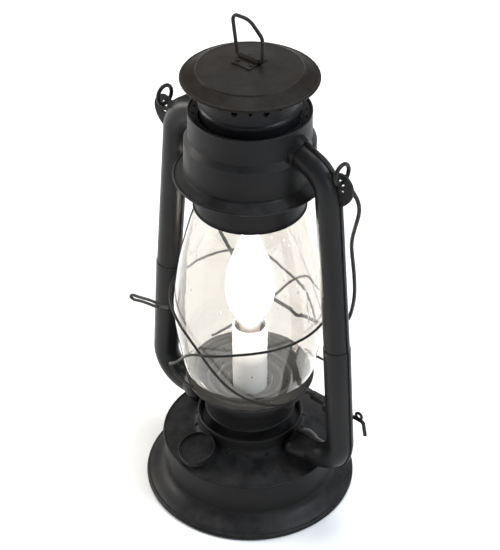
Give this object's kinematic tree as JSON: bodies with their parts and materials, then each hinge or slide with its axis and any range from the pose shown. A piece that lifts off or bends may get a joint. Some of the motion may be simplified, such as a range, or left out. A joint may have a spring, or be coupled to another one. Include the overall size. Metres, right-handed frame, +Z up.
{
  "type": "barn lantern",
  "caption": "Electrified barn lantern: round tank base, side tubes, glass globe in a wire guard, lifting chimney cap, hanging bail and a candle-style lamp inside.",
  "frame": {"origin": "centre of the base's round footprint, in the plane it stands on", "axes": "+Z up; the side tubes stand on the X axis; the lantern's front faces -Y and the bail hangs at +Y"},
  "size_m": [0.1725, 0.14, 0.3402],
  "materials": {
    "black_paint": "satin",
    "black_wire": "satin",
    "gasket_rubber": "matt",
    "bushing_plastic": "matt",
    "zinc_steel": "zinc plated",
    "socket_plastic": "matt",
    "sleeve_plastic": "satin",
    "bulb_brass": "bright",
    "bulb_glass": "lit",
    "clear_glass": "clear",
    "filament": "glowing"
  },
  "bodies": {
    "frame": {"base_skirt": "black_paint", "fount_shell": "black_paint", "neck_collar": "black_paint", "bottom_pan": "black_paint", "filler_neck": "black_paint", "cord_bushing": "bushing_plastic", "lower_tube_left": "black_paint", "lower_tube_right": "black_paint", "upper_tube_left": "black_paint", "upper_tube_right": "black_paint", "canopy_collar_left": "black_paint", "canopy_collar_right": "black_paint", "ear_left": "black_paint", "ear_right": "black_paint", "canopy_band": "black_paint", "canopy_top": "black_paint", "canopy_skirt": "black_paint", "lift_bracket": "black_paint", "lamp_nipple": "zinc_steel", "nipple_nuts": "zinc_steel", "lamp_socket": "socket_plastic", "candle_sleeve": "sleeve_plastic", "bulb_cap": "bulb_brass", "bulb_glass": "bulb_glass", "bulb_stem": "clear_glass", "bulb_filament": "filament"},
    "globe_carriage": {"globe_plate": "black_paint", "burner_bell": "black_paint", "globe_glass": "clear_glass", "guard_wire_left": "black_wire", "guard_wire_right": "black_wire", "finger_loop": "black_wire"},
    "chimney": {"chimney_tube": "black_paint", "globe_bell": "black_paint", "top_cap": "black_paint", "ring_saddle": "black_paint", "saddle_rivets": "black_paint"},
    "lift_ring": {"lift_ring": "black_wire"},
    "bail": {"bail": "black_wire"},
    "lift_lever": {"lift_lever": "black_wire"},
    "filler_cap": {"filler_cap": "black_paint", "filler_gasket": "gasket_rubber"}
  },
  "joints": [
    {"name": "globe_lift", "type": "slide", "parent": "frame", "child": "globe_carriage", "axis": [0, 0, 1], "range_m": [0, 0.01]},
    {"name": "chimney_raise", "type": "slide", "parent": "globe_carriage", "child": "chimney", "axis": [0, 0, 1], "range_m": [0, 0.018]},
    {"name": "lift_ring_fold", "type": "hinge", "parent": "chimney", "child": "lift_ring", "pos_m": [0, 0, 0.3146], "axis": [1, 0, 0], "range_deg": [-78, 78]},
    {"name": "bail_swing", "type": "hinge", "parent": "frame", "child": "bail", "pos_m": [0, 0, 0.266], "axis": [1, 0, 0], "range_deg": [0, 318]},
    {"name": "lift_lever_turn", "type": "hinge", "parent": "frame", "child": "lift_lever", "pos_m": [0.06, 0.0105, 0.0825], "axis": [-1, 0, 0], "range_deg": [0, 30]},
    {"name": "filler_cap_pull", "type": "slide", "parent": "frame", "child": "filler_cap", "axis": [0, -0.2756, 0.9613], "range_m": [0, 0.014]}
  ],
  "couplings": [
    {"joint": "lift_lever_turn", "follows": "globe_lift", "rad_per_m": 52.355}
  ]
}
